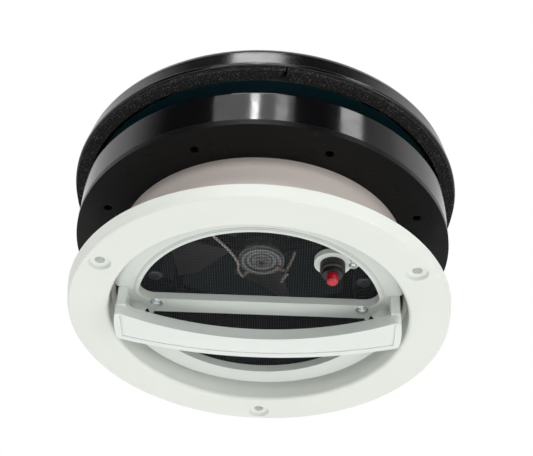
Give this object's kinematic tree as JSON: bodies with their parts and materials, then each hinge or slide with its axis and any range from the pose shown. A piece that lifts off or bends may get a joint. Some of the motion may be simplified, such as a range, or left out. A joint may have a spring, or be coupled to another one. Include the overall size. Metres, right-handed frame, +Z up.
{
  "type": "round powered roof vent",
  "caption": "Round powered roof vent: black flanged base and lift-up lid above, white ceiling trim below, with fan, insect screen, pull handle and push button.",
  "frame": {"origin": "centre of the roof seat, the underside of the roof plate", "axes": "+Z up through the roof along the vent's axis; the crossbar and handle run along X; the switch is on the -Y side"},
  "size_m": [0.249, 0.249, 0.1305],
  "materials": {
    "white_plastic": "satin moulded",
    "warm_white_plastic": "satin moulded",
    "black_plastic": "fine textured",
    "lid_plastic": "satin moulded",
    "dark_liner": "smooth",
    "foam": "open-cell foam, speckled",
    "screw_steel": "zinc plated",
    "motor_steel": "drawn can",
    "screen_mesh": "fine woven",
    "bush_brass": "tinned",
    "lead_insulation": "pvc",
    "impeller_plastic": "smoky moulded",
    "button_red": "polished"
  },
  "bodies": {
    "housing": {"roof_plate": "black_plastic", "upstand_ring": "black_plastic", "throat_tube": "warm_white_plastic", "trim_ring": "white_plastic"},
    "carriage": {"lid_dome": "lid_plastic", "lid_liner": "dark_liner", "foam_seal": "foam", "post_screws": "screw_steel", "lift_post_1": "black_plastic", "lift_post_2": "black_plastic", "lift_post_3": "black_plastic", "lift_post_4": "black_plastic", "carriage_ring": "black_plastic", "screen_retainer": "black_plastic", "insect_screen": "screen_mesh", "screen_frame": "white_plastic", "frame_screws": "screw_steel", "pull_handle": "white_plastic", "handle_screws": "screw_steel", "motor_bracket": "black_plastic", "bracket_screws": "screw_steel", "motor_can": "motor_steel", "motor_end_cap": "warm_white_plastic", "motor_bush": "bush_brass", "motor_terminals": "bush_brass", "motor_lead_a": "lead_insulation", "motor_lead_b": "lead_insulation", "switch_bracket": "white_plastic", "switch_bracket_screw": "screw_steel", "switch_body": "black_plastic", "switch_nut": "black_plastic", "switch_terminals": "bush_brass"},
    "fan": {"motor_shaft": "screw_steel", "impeller": "impeller_plastic", "hub_clip": "screw_steel"},
    "button": {"push_button": "button_red"}
  },
  "joints": [
    {"name": "carriage_lift", "type": "slide", "parent": "housing", "child": "carriage", "axis": [0, 0, 1], "range_m": [-0.0125, 0]},
    {"name": "fan_spin", "type": "hinge", "parent": "carriage", "child": "fan", "pos_m": [0, 0, 0], "axis": [0, 0, 1], "continuous": true},
    {"name": "button_press", "type": "slide", "parent": "carriage", "child": "button", "axis": [0, 0, 1], "range_m": [0, 0.003], "stiffness_N_per_m": 400}
  ]
}
